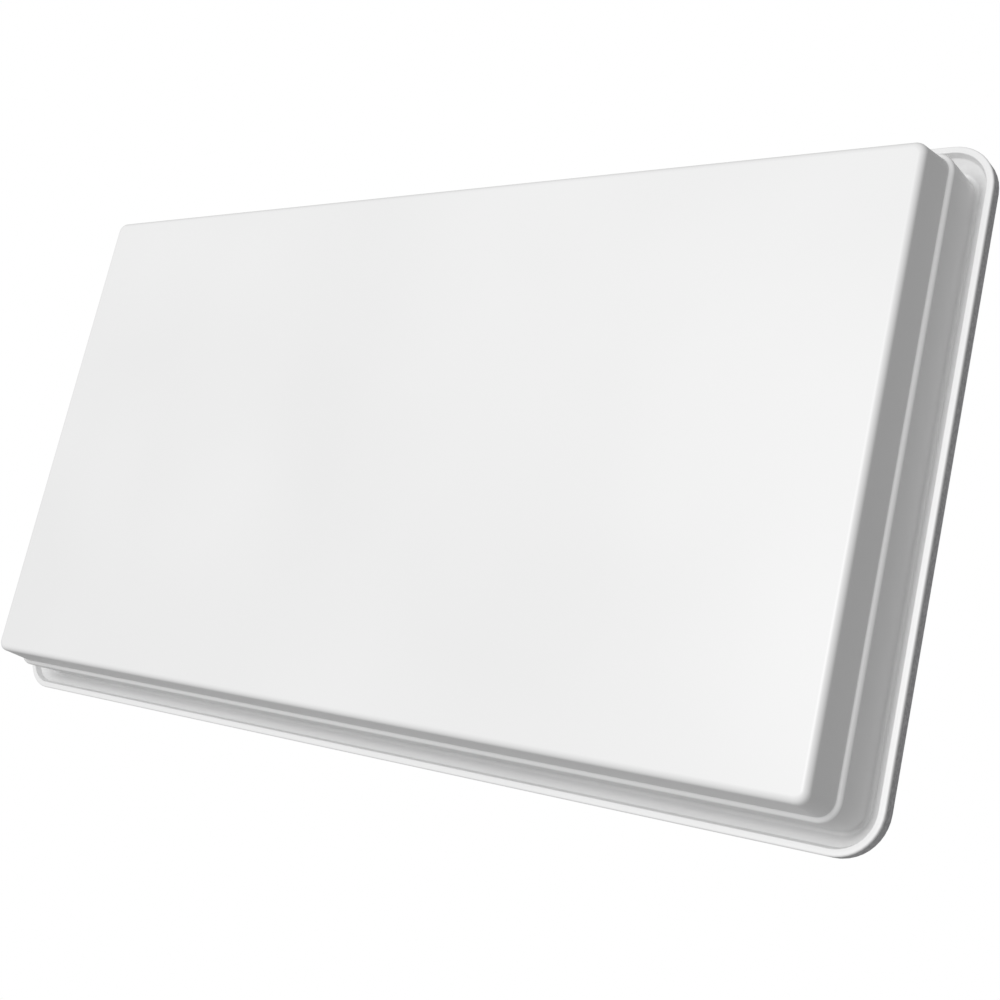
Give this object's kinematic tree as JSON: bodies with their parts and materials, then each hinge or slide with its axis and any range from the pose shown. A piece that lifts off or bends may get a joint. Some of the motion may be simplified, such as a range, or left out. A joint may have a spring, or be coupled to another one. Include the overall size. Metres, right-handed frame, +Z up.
{
  "type": "flat satellite antenna",
  "caption": "Flat-panel satellite antenna: a white radome over a horn array, a grey rear cover with a converter hump, and a tilting and turning bracket that clamps on a mast.",
  "frame": {"origin": "on the axis of the mast that the clamp holds, at the height of the panel's centre", "axes": "+Z up along the mast, -Y where the panel looks, +X to the right of someone who faces the panel"},
  "size_m": [0.52, 0.2331, 0.28],
  "materials": {
    "radome": "white UV-stable moulded plastic, satin",
    "cover": "mid-grey moulded plastic, fine spark texture",
    "rubber": "black silicone rubber",
    "stainless": "stainless steel",
    "film": "white porous film",
    "foam": "closed-cell polyethylene foam",
    "plated": "plastic plated with bright metal",
    "aluminium": "rolled aluminium",
    "diecast": "die-cast, lightly shot-blasted",
    "board": "green solder mask on glass fibre",
    "brass": "turned brass",
    "nickel": "nickel-plated brass",
    "insulator": "white polyethylene",
    "galvanised": "galvanised sheet steel",
    "zinc": "bright zinc-plated steel",
    "wing": "zinc-plated cast wing nut"
  },
  "bodies": {
    "mast_bracket": {"mast_bracket": "galvanised", "fixed_jaw": "diecast", "clamp_bolts": "zinc", "pivot_bolts": "zinc", "pivot_washers": "zinc", "pivot_nuts": "zinc", "lock_bolts": "zinc", "lock_washers": "zinc"},
    "loose_jaw": {"loose_jaw": "diecast", "clamp_washers": "zinc", "clamp_nuts": "zinc"},
    "tilt_yoke": {"tilt_yoke": "galvanised"},
    "panel": {"radome": "radome", "rear_cover": "cover", "rim_gasket": "rubber", "cover_screws": "stainless", "vent_plug": "cover", "vent_film": "film", "foam_sheet": "foam", "horn_plate": "plated", "upper_feed_plate": "plated", "lower_feed_plate": "plated", "chassis_plate": "aluminium", "array_screws": "stainless", "waveguide_port": "aluminium", "mount_pillars": "aluminium", "pillar_screws": "stainless", "converter_housing": "diecast", "converter_gasket": "rubber", "converter_lid": "diecast", "lid_screws": "stainless", "circuit_board": "board", "board_posts": "brass", "waveguide_probes": "brass", "lug_screws": "stainless", "connector_shell_1": "nickel", "connector_shell_2": "nickel", "connector_insulator_1": "insulator", "connector_insulator_2": "insulator", "connector_contact_1": "brass", "connector_contact_2": "brass", "connector_nut_1": "nickel", "connector_nut_2": "nickel", "connector_seal_1": "rubber", "connector_seal_2": "rubber", "panel_bolts": "stainless", "panel_washers": "stainless"},
    "wing_nut_left": {"wing_nut_left": "wing"},
    "wing_nut_right": {"wing_nut_right": "wing"}
  },
  "joints": [
    {"name": "elevation", "type": "hinge", "parent": "mast_bracket", "child": "tilt_yoke", "pos_m": [0, -0.075, 0], "axis": [-1, 0, 0], "range_deg": [0, 60]},
    {"name": "skew", "type": "hinge", "parent": "tilt_yoke", "child": "panel", "pos_m": [0, -0.116, 0], "axis": [0, -1, 0], "range_deg": [-30, 30]},
    {"name": "clamp_slide", "type": "slide", "parent": "mast_bracket", "child": "loose_jaw", "axis": [0, 1, 0], "range_m": [0, 0.015]},
    {"name": "wing_turn_left", "type": "hinge", "parent": "mast_bracket", "child": "wing_nut_left", "pos_m": [-0.07, -0.05075, 0.014], "axis": [1, 0, 0], "continuous": true},
    {"name": "wing_turn_right", "type": "hinge", "parent": "mast_bracket", "child": "wing_nut_right", "pos_m": [0.07, -0.05075, 0.014], "axis": [1, 0, 0], "continuous": true}
  ]
}
